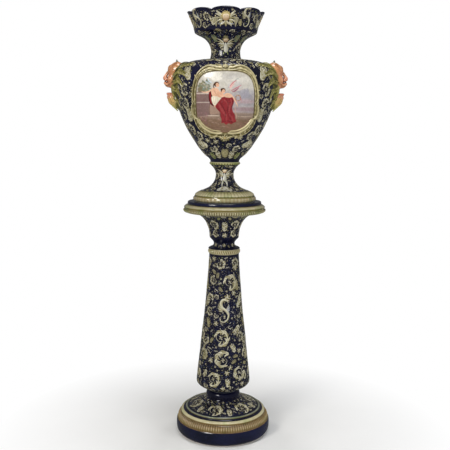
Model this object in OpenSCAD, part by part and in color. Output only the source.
// A glazed maiolica amphora with two satyr-mask handles, on its matching pedestal.
// The pedestal is three stacked ceramic sections (base, column, capital). The amphora
// is a hollow body with a neck and a lobed rim, drawn down on its foot by an iron rod.
// Millimetres, +Z up, origin at the centre of the base's underside, medallion facing -Y.

/* [Ceramic] */
// Wall thickness of the large thrown shells
wall = 11; // [9:0.5:12]
// Wall thickness of the neck and the lobed rim
fine_wall = 9; // [8:0.5:10]

/* [Pedestal] */
// Largest radius of the plinth
plinth_r = 203.5; // [198:0.5:210]
// Radius of the column's shaft at its foot
shaft_foot_r = 116; // [112:1:120]
// Radius of the column's shaft under its collar
shaft_top_r = 64; // [62:1:67]
// Radius of the capital's top plate
plate_r = 176; // [172:1:182]

/* [Amphora] */
// Largest radius of the body
body_r = 212; // [208:1:216]
// Smallest radius of the neck
neck_r = 60; // [58:1:63]
// Radius of the rim at the middle of a lobe
rim_r = 160; // [156:1:164]
// How much deeper the rim is cut between two lobes
lobe_notch = 11; // [6:1:14]
// Height that the medallion and its frame are centred on
medallion_z = 1420; // [1412:1:1428]

/* [Masks] */
// How far the tip of a mask's nose stands from the axis
nose_reach = 261; // [256:1:264]
// Height of the open mouth between upper lip and lower jaw
mouth_gap = 15; // [12:1:17]

/* [Fittings] */
// Radius of the iron tie rod
rod_r = 6; // [5:0.5:7]
// Thickness of the felt under the amphora and between the sections
felt_t = 2; // [2:0.5:3]

/* [Hidden] */
$fn = 96;

cobalt = "midnightblue";
cream = "palegoldenrod";
ochre = "darkkhaki";
leaf = "olivedrab";
flesh = "darksalmon";
felt = "dimgray";
iron = "slategray";

// Heights of the joints between the pieces, from the floor up.
plinth_top = 62;
egg_top = 92;
torus_top = 103;
fillet_z = 109;
base_top = 186;
shaft_z = base_top + felt_t;
shaft_top = 792;
collar_top = 812;
capital_z = collar_top + felt_t;
plate_z = 968;
bead_top = 986;
cove_top = 1003;
seat_z = 1016;
foot_z = seat_z + felt_t;
foot_torus_top = 1040;
gadroon_top = 1061;
stem_top = 1171;
body_z = 1183;
bowl_top = 1368;
belly_top = 1570;
shoulder_z = 1606;
arris_z = 1716;
rim_top = 1798;

// Radii of the spigots that keep the stacked sections in line, and their play.
base_bore_r = 34;
collar_bore_r = 43;
play = 1.5;
spigot_len = 26;
// Air between a piece that is luted on and the surface under it.
slip = 0.3;
// Air behind relief whose back bridges the body's curves in short flats, and behind
// the wide pieces, whose flats are longer.
bed = 0.8;
wide_bed = 1.6;
lobes = 8;

// A smooth curve through the points p, with n steps from one to the next.
function curve(p, n = 6) = [
    for (i = [0 : len(p) - 2], k = [0 : n - 1])
        let (a = p[max(i - 1, 0)], b = p[i], c = p[i + 1],
            d = p[min(i + 2, len(p) - 1)], t = k / n)
        b + t * (c - a) / 2 + t * t * (2 * a - 5 * b + 4 * c - d) / 2
            + t * t * t * (3 * b - 3 * c + d - a) / 2,
    p[len(p) - 1]];

function unit(v) = v / norm(v);
function reversed(p) = [for (i = [len(p) - 1 : -1 : 0]) p[i]];

// The rising outline p moved w towards the inside, with its ends kept at their heights.
function inset(p, w) = [
    for (i = [0 : len(p) - 1])
        (i == 0 || i == len(p) - 1) ? p[i] - [w, 0]
            : let (t = unit(p[i + 1] - p[i - 1])) p[i] + w * [-t.y, t.x]];

// The part of the rising outline p between the heights low and high.
function between(p, low, high) =
    let (r_by_z = [for (q = p) [q.y, q.x]])
    concat([[lookup(low, r_by_z), low]], [for (q = p) if (q.y > low + 0.5 && q.y < high - 0.5) q],
        [[lookup(high, r_by_z), high]]);

// Lengths along the outline p from its start to each of its points.
function lengths(p, i = 0, sum = 0) =
    i == len(p) - 1 ? [sum]
        : concat([sum], lengths(p, i + 1, sum + norm(p[i + 1] - p[i])));

// A thrown shell: the rising outline p turned about the axis, w thick.
module shell(p, w) {
    rotate_extrude() polygon(concat(p, reversed(inset(p, w))));
}

// A ring whose section is the list of points p.
module ring(p) {
    rotate_extrude() polygon(p);
}

// Triangles between loops of points that close on themselves and on each other.
module closed_loops(loops) {
    n = len(loops);
    m = len(loops[0]);
    polyhedron([for (loop = loops) each loop], [
        for (i = [0 : n - 1], j = [0 : m - 1])
            let (a = i * m + j, b = i * m + (j + 1) % m,
                c = (i + 1) % n * m + (j + 1) % m, d = (i + 1) % n * m + j)
            each [[a, b, c], [a, c, d]]]);
}

// Triangles between loops that run from one side of a thin piece, round its edge, to
// the other side, with a fan of triangles closing the first and the last loop.
module lens(loops) {
    n = len(loops);
    m = len(loops[0]);
    middle = function (loop) [for (loop_sum = [for (k = [0 : 2])
        [for (p = loop) p[k]] * [for (p = loop) 1]]) loop_sum / m];
    polyhedron(concat([for (loop = loops) each loop],
        [middle(loops[0]), middle(loops[n - 1])]), [
        for (i = [0 : n - 2], j = [0 : m - 1])
            let (a = i * m + j, b = i * m + (j + 1) % m, c = b + m, d = a + m)
            each [[a, b, c], [a, c, d]],
        for (j = [0 : m - 1]) [n * m, (j + 1) % m, j],
        for (j = [0 : m - 1])
            [n * m + 1, (n - 1) * m + j, (n - 1) * m + (j + 1) % m]]);
}

// ---------------------------------------------------------------- outlines

plinth_outline = curve([[176, 0], [191, 5], [200, 15], [plinth_r - 0.5, 28],
    [plinth_r, 45], [plinth_r - 1, 57], [200, plinth_top]], 4);

dome_outline = concat(
    [[174, torus_top], [166, 104], [163, 108], [163, fillet_z], [156, fillet_z], [155, 113]],
    curve([[150, 115.5], [120, 129], [95, 139], [78, 146], [69, 151], [67, 154]], 4),
    curve([[67, 154], [71, 158], [73.5, 168], [71, 178], [66, 183.5], [64, base_top]], 4));

// The knop is hollow only as far as the column's spigot needs.
dome_inside = [[162, torus_top], [154, 99], [110, 119], [70, 137], [52, 146],
    [base_bore_r, 150], [base_bore_r, base_top]];

shaft_outline = curve([[62, shaft_z], [66, 194], [78, 200], [97, 206], [111, 217],
    [shaft_foot_r, 232], [shaft_foot_r - 3.7, 271], [108, 312], [103.2, 353], [99, 394],
    [95, 434], [90.2, 475], [85.2, 515], [81, 555], [77.5, 595], [74.5, 635], [71, 675],
    [68, 714], [65.5, 754], [shaft_top_r, 780], [shaft_top_r, shaft_top]], 4);

stem_outline = concat(
    curve([[68, capital_z], [64, 818], [54, 822], [46.5, 827], [44.4, 834], [46, 842]], 4),
    [[53, 851], [60, 858], [62.3, 862]],
    curve([[62.3, 862], [63, 874], [65.5, 892], [71, 910], [80, 929], [94, 947],
        [112, 959], [132, 965.5], [152, plate_z]], 4));

foot_stem_outline = curve([[102, gadroon_top], [89, 1065], [71, 1073], [59, 1082],
    [51, 1091], [44.6, 1100.5], [40, 1112], [37.6, 1125], [37.6, 1135], [40, 1145],
    [45.5, 1155], [53, 1164], [60, stem_top]], 4);

body_outline = curve([[60.5, body_z], [61.5, 1190], [67, 1198], [77, 1206], [90, 1218],
    [110.5, 1243], [127, 1268], [143.5, 1293], [158.4, 1318], [171, 1343], [182, 1368],
    [192, 1395], [200.5, 1420], [208, 1450], [body_r - 1, 1480], [body_r, 1505],
    [210, 1530], [203, 1552], [191, 1570], [174, 1584], [150, 1593.5], [120, 1599],
    [92, 1602], [76, 1603.5], [66, shoulder_z]], 3);

// The inside of the body, down to its flat floor.
body_inside = [for (p = inset(body_outline, wall))
    if ((p.y > 1210 && p.y < 1597) || p.y == shoulder_z) p];

neck_outline = concat(
    curve([[66, shoulder_z], [62.3, 1616], [neck_r + 0.5, 1627], [neck_r, 1640],
        [neck_r + 2.5, 1652], [66.5, 1664], [74, 1676.5], [86, 1689], [104, 1700],
        [119, 1707]], 4),
    [[128, 1712], [130, arris_z]]);

// Radius, height and outward direction of the body's surface, by length along it.
body_lengths = lengths(body_outline);
body_r_by_s = [for (i = [0 : len(body_outline) - 1]) [body_lengths[i], body_outline[i].x]];
body_z_by_s = [for (i = [0 : len(body_outline) - 1]) [body_lengths[i], body_outline[i].y]];
body_s_by_z = [for (i = [0 : len(body_outline) - 1]) [body_outline[i].y, body_lengths[i]]];
function body_at(s) = [lookup(s, body_r_by_s), lookup(s, body_z_by_s)];
function body_normal(s) =
    let (t = unit(body_at(s + 3) - body_at(s - 3))) [t.y, -t.x];

// The point x along the girth and s along the meridian from the medallion's centre,
// standing off the body's surface, on the side that faces the angle turn.
medallion_s = lookup(medallion_z, body_s_by_z);
function on_body(x, s, off, turn = 0, s0 = medallion_s) =
    let (b = body_at(s0 + s), p = b + off * body_normal(s0 + s),
        a = turn + x / b.x * 180 / PI)
    [p.x * sin(a), -p.x * cos(a), p.y];

// ---------------------------------------------------------------- pedestal base

module base_plinth() color(cobalt)
    ring(concat([[158, 0]], plinth_outline,
        [[186, plinth_top], [190, 45], [187, 28], [176, 16], [158, 12]]));

module base_egg_band() color(ochre)
    ring([[186, plinth_top], [200, plinth_top], [198.5, 70], [195.3, 79], [190.5, 86.5],
        [184, egg_top], [171, egg_top], [180, 78]]);

module base_torus() color(cream)
    ring(concat([[171, egg_top]],
        curve([[183, egg_top], [184, 95.5], [181.5, 100], [174, torus_top]], 5),
        [[162, torus_top]]));

module base_dome() color(cobalt)
    ring(concat(dome_outline, reversed(dome_inside)));

module dome_fillet() color(cream)
    ring([[156, fillet_z], [163, fillet_z], [163, 112], [161.5, 114.3], [158, 114.8],
        [156, 113]]);

module base_felt() color(felt)
    ring([[36, base_top], [61, base_top], [61, shaft_z], [36, shaft_z]]);

// ---------------------------------------------------------------- column

module column_shaft() color(cobalt)
    ring(concat(
        [[base_bore_r - play - 8, shaft_z - spigot_len],
            [base_bore_r - play, shaft_z - spigot_len], [base_bore_r - play, shaft_z]],
        shaft_outline, [[shaft_top_r - wall, shaft_top]],
        [for (z = [780 : -78 : 234]) [lookup(z, [[232, shaft_foot_r], [394, 99],
            [555, 81], [780, shaft_top_r]]) - wall - 1.5, z]],
        [[88, 220], [60, 208], [base_bore_r - play - 8, 202]]));

module column_collar() color(ochre)
    ring(concat([[collar_bore_r, shaft_top]],
        curve([[64, shaft_top], [67.5, 795], [69.3, 802], [67.5, 809], [65, collar_top]], 4),
        [[collar_bore_r, collar_top]]));

module column_felt() color(felt)
    ring([[45, collar_top], [64, collar_top], [64, capital_z], [45, capital_z]]);

// ---------------------------------------------------------------- capital

module capital_stem() color(cobalt)
    ring(concat(
        [[collar_bore_r - play - 9, capital_z - spigot_len],
            [collar_bore_r - play, capital_z - spigot_len],
            [collar_bore_r - play, capital_z]],
        stem_outline,
        [[126, plate_z], [104, 966], [84, 953], [70, 934], [60, 912], [52, 880],
            [47, 862], [collar_bore_r - play - 9, 846]]));

module plate_bead_band() color(cream)
    ring(concat([[132, plate_z], [160, plate_z]],
        curve([[160, plate_z], [170, 971], [plate_r, 978], [plate_r - 1, 983],
            [171, bead_top]], 4),
        [[132, bead_top]]));

module plate_cove_band() color(cream)
    ring(concat([[132, bead_top]],
        curve([[171, bead_top], [173, 990], [171.5, 995], [166, 999.5],
            [159, cove_top]], 4),
        [[132, cove_top]]));

module seat_disc() color(cobalt) difference() {
    ring([[0, cove_top], [155, cove_top], [157, 1006], [156.5, 1012], [154, seat_z],
        [0, seat_z]]);
    translate([0, 0, cove_top - 1]) cylinder(r = 45, h = seat_z - cove_top + 2);
}

module foot_felt() color(felt)
    ring([[100, seat_z], [126, seat_z], [126, foot_z], [100, foot_z]]);

// ---------------------------------------------------------------- amphora's foot

module foot_torus() color(cream)
    ring(concat([[104, foot_z], [127, foot_z]],
        curve([[127, foot_z], [132, 1021], [133.8, 1028], [131.5, 1036],
            [128, foot_torus_top]], 4),
        [[108, foot_torus_top]]));

module foot_gadroon() color(ochre)
    ring(concat([[108, foot_torus_top]],
        curve([[128, foot_torus_top], [126.5, 1045], [120, 1051.5], [111, 1057],
            [102, gadroon_top]], 4),
        [[93, gadroon_top]]));

module foot_stem() color(cobalt)
    ring(concat(foot_stem_outline,
        [[rod_r + 2, stem_top], [rod_r + 2, 1146], [26, 1146], [26, 1114], [42, 1084],
            [64, 1066], [84, 1056], [92, gadroon_top]]));

module stem_collar() color(ochre)
    ring(concat([[rod_r + 2, stem_top]],
        curve([[60, stem_top], [63.5, 1173], [65.2, 1177], [63.5, 1181], [60.5, body_z]], 4),
        [[rod_r + 2, body_z]]));

// ---------------------------------------------------------------- amphora's body

// The body is thrown in three sections, luted together before firing.
module body_bowl() color(cobalt)
    ring(concat(
        between(body_outline, body_z, bowl_top), reversed(between(body_inside, 1212, bowl_top)),
        [[54, 1198], [48, 1196], [rod_r + 2, 1196], [rod_r + 2, body_z]]));

module body_section(low, high)
    ring(concat(between(body_outline, low, high), reversed(between(body_inside, low, high))));

module body_belly() color(cobalt) body_section(bowl_top, belly_top);

module body_shoulder() color(cobalt) body_section(belly_top, shoulder_z);

module neck() color(cobalt)
    ring(concat(neck_outline, [[130 - fine_wall, arris_z]],
        reversed([for (p = inset(neck_outline, fine_wall))
            if (p.y > shoulder_z + 1 && p.y < arris_z - 0.5) p]),
        [[66 - fine_wall, shoulder_z]]));

// How far a lobe stands out at angle a: 1 at its middle, 0 at the notch beside it.
function lobe_share(a) = sqrt(abs(cos(a * lobes / 2)));

// The rim's wall at angle a, a share t of the way up, thin metres inside its face.
function rim_point(a, t, inside) =
    let (top = rim_top - lobe_notch * (1 - lobe_share(a)),
        flare = 130 + (rim_r - 10 - 130) * pow(t, 1.35),
        r = flare + 10 * t * t * lobe_share(a) - inside,
        z = arris_z + (top - 3 - arris_z) * t)
    [r * sin(a), -r * cos(a), z];

module lobed_rim() color(cobalt)
    closed_loops([
        for (i = [0 : 95])
            let (a = i * 360 / 96, lip = [0, 0, 3])
            concat(
                [for (t = [0 : 0.2 : 1]) rim_point(a, t, 0)],
                [rim_point(a, 1, fine_wall * 0.3) + lip, rim_point(a, 1, fine_wall * 0.7) + lip],
                [for (t = [1 : -0.2 : 0]) rim_point(a, t, fine_wall)])]);

// ---------------------------------------------------------------- relief on the body

// The medallion's outline: a rounded square, half as wide and half as tall as this.
panel_w = 122;
panel_h = 125;
function panel(a) =
    let (c = cos(a), d = sin(a),
        far = pow(pow(abs(c) / panel_w, 3.5) + pow(abs(d) / panel_h, 3.5), -1 / 3.5))
    far * [c, d];

// One loop round the medallion: share of its full size, and height off the surface.
function medallion_loop(share, off, turn) = [
    for (k = [0 : 47])
        let (q = share * panel(k * 7.5)) on_body(q.x, q.y, off, turn)];

module medallion(turn) color("rosybrown")
    lens([for (share = [0.06, 0.3, 0.55, 0.8, 0.98]) medallion_loop(share, 4, turn),
        medallion_loop(1, 2.4, turn),
        for (share = [0.98, 0.8, 0.55, 0.3, 0.06]) medallion_loop(share, wide_bed, turn)]);

// The frame's section round the medallion: place across it, and height off the body.
frame_section = [[1.008, bed], [1.015, 6.5], [1.05, 9], [1.09, 6.5], [1.14, 10.5],
    [1.19, 8], [1.215, bed], [1.11, bed]];

// The frame, open where the crest and the pendant are let into it. Its outer edge is
// rounder than the medallion.
module cartouche(turn) color(cream) difference() {
    closed_loops([for (k = [0 : 71])
        let (p = panel(-k * 5))
        [for (q = frame_section)
            let (m = 1 + (q.x - 1) * (1 - 0.45 * pow(sin(k * 10), 4)))
            on_body(m * p.x, m * p.y, q.y, turn)]]);
    boss(0, crest_s, 16, 16, 16, turn, 1, -3);
    boss(0, pendant_s, 25, 20, 16, turn, 1, -3);
}

// A shield of relief: half width and half height, thickness, turn, grown all round,
// and how far off the body its back is.
module boss(x, s, half_w, half_h, thick, turn, grow = 0, back = bed)
    lens([for (q = [[0.25, thick], [0.6, thick * 0.9], [0.9, thick * 0.6], [1, back],
            [0.6, back], [0.25, back]])
        [for (k = [0 : 23])
            on_body(x + (q.x * half_w + grow) * cos(k * 15),
                s + (q.x * half_h + grow) * sin(k * 15), q.y, turn)]]);

crest_s = 143;
pendant_s = -147;

module crest(turn) color(cream) boss(0, crest_s, 16, 16, 15, turn);

module pendant(turn) color(cream) boss(0, pendant_s, 25, 20, 15, turn);

// ---------------------------------------------------------------- satyr masks

// The body, swollen by gap, to be cut out of a piece that sits on it.
module body_envelope(gap) rotate_extrude()
    polygon(concat([[0, 1360]],
        [for (p = inset(body_outline, -gap)) if (p.y > 1360 && p.y < 1600) p],
        [[0, 1599]]));

// Copies a right-hand piece to the side: 1 right, -1 left.
module on_side(side) {
    if (side > 0) children();
    else mirror([1, 0, 0]) children();
}

module ball(x, y, z, r) translate([x, y, z]) sphere(r = r, $fn = 16);

// Both eyes' and both cheeks' side: the piece and its mirror image across the nose.
module pair(y) for (side = [-1, 1]) translate([0, side * y, 0]) children();

mouth_top = 1485;
jaw_top = mouth_top - mouth_gap;

module head_solid() {
    hull() { pair(26) ball(200, 0, 1556, 34); ball(209, 0, 1556, 31); }
    hull() { pair(20) ball(212, 0, 1512, 24); ball(212, 0, 1530, 28); }
    hull() { pair(24) ball(221, 0, 1524, 14); pair(14) ball(212, 0, 1496, 18); }
    hull() { pair(17) ball(234, 0, 1549, 8); ball(238, 0, 1551, 8); }
    hull() { ball(241, 0, 1549, 6); ball(nose_reach - 11, 0, 1526, 11); }
    hull() { pair(9) ball(245, 0, 1519, 7); ball(250, 0, 1522, 8); }
    hull() { ball(247, 0, 1506, 9); pair(22) ball(226, 0, 1497, 10); }
}

module mask_head(side) color(flesh) on_side(side) difference() {
    head_solid();
    translate([150, -60, mouth_top - 60]) cube([130, 120, 60]);
    body_envelope(slip);
    hood_solid(slip, -6);
}

module jaw_solid() {
    hull() { pair(7) ball(238, 0, 1461, 9); pair(12) ball(220, 0, 1458, 11); }
    hull() { ball(237, 0, 1455, 9); pair(14) ball(212, 0, 1442, 14); }
    hull() { pair(12) ball(211, 0, 1440, 12); ball(207, 0, 1425, 14); }
    hull() { ball(209, 0, 1425, 12); ball(196, 0, 1402, 8); }
    for (k = [-1, 1])
        hull() { ball(211, 18 * k, 1446, 10); ball(203, 22 * k, 1418, 6); }
}

module mask_jaw(side) color(flesh) on_side(side) difference() {
    jaw_solid();
    translate([150, -60, jaw_top]) cube([130, 120, 60]);
    body_envelope(slip);
    hood_solid(slip, -6);
}

// The leafy hood: a mantle of relief with a scalloped edge, round and behind the face,
// that narrows to a point under the beard. Half width and height by direction.
hood_s = lookup(1505, body_s_by_z);
function hood_edge(a) =
    let (up = sin(a) > 0, tall = up ? 118 : 112, wide = up ? 98 : 98 - 34 * -sin(a),
        scallop = 1 - 0.05 * abs(sin(a * 5.5)))
    scallop * [wide * cos(a), tall * sin(a)];

module hood_solid(grow = 0, back = wide_bed)
    lens([for (q = [[0.06, 9.8], [0.25, 9.8], [0.45, 9.6], [0.6, 9.2], [0.75, 8.4], [0.88, 7],
            [1, wide_bed], [0.99, back], [0.88, back], [0.75, back], [0.6, back],
            [0.45, back], [0.25, back], [0.06, back]])
        [for (k = [0 : 35])
            let (e = (1 + grow / 60) * q.x * hood_edge(k * 10))
            on_body(e.x, e.y, q.y > wide_bed ? q.y + grow : q.y, 90, hood_s)]]);

module mask_hood(side) color(leaf) on_side(side) hood_solid();

// Two little horns on the crown of the head.
module mask_horns(side) color(ochre) on_side(side)
    for (k = [-1, 1])
        translate([200, 26 * k, 1590 + slip]) cylinder(r1 = 6, r2 = 2.5, h = 13);

// ---------------------------------------------------------------- iron fittings

rod_low = 1118;
rod_high = 1226;

module tie_rod() color(iron)
    translate([0, 0, rod_low]) cylinder(r = rod_r, h = rod_high - rod_low);

module hex_nut(z) translate([0, 0, z]) difference() {
    cylinder(r = rod_r * 1.9, h = rod_r * 1.6, $fn = 6);
    translate([0, 0, -1]) cylinder(r = rod_r + 0.05, h = rod_r * 1.6 + 2);
}

module washer(z, r, h) translate([0, 0, z]) difference() {
    cylinder(r = r, h = h);
    translate([0, 0, -1]) cylinder(r = rod_r + 0.5, h = h + 2);
}

module rod_gasket_upper() color(felt) washer(1196, 24, 3);
module rod_washer_upper() color(iron) washer(1199, 22, 2.5);
module rod_nut_upper() color(iron) hex_nut(1201.5);
module rod_gasket_lower() color(felt) washer(1143, 20, 3);
module rod_washer_lower() color(iron) washer(1140.5, 19, 2.5);
module rod_nut_lower() color(iron) hex_nut(1140.5 - rod_r * 1.6);

base_plinth();
base_egg_band();
base_torus();
base_dome();
dome_fillet();
base_felt();
column_shaft();
column_collar();
column_felt();
capital_stem();
plate_bead_band();
plate_cove_band();
seat_disc();
foot_felt();
foot_torus();
foot_gadroon();
foot_stem();
stem_collar();
body_bowl();
body_belly();
body_shoulder();
neck();
lobed_rim();
mask_head(-1);  // mask_head_left
mask_head(1);  // mask_head_right
mask_jaw(-1);  // mask_jaw_left
mask_jaw(1);  // mask_jaw_right
mask_hood(-1);  // mask_hood_left
mask_hood(1);  // mask_hood_right
mask_horns(-1);  // mask_horns_left
mask_horns(1);  // mask_horns_right
medallion(0);  // medallion_front
medallion(180);  // medallion_back
cartouche(0);  // cartouche_front
cartouche(180);  // cartouche_back
crest(0);  // crest_front
crest(180);  // crest_back
pendant(0);  // pendant_front
pendant(180);  // pendant_back
tie_rod();
rod_nut_upper();
rod_nut_lower();
rod_washer_upper();
rod_washer_lower();
rod_gasket_upper();
rod_gasket_lower();
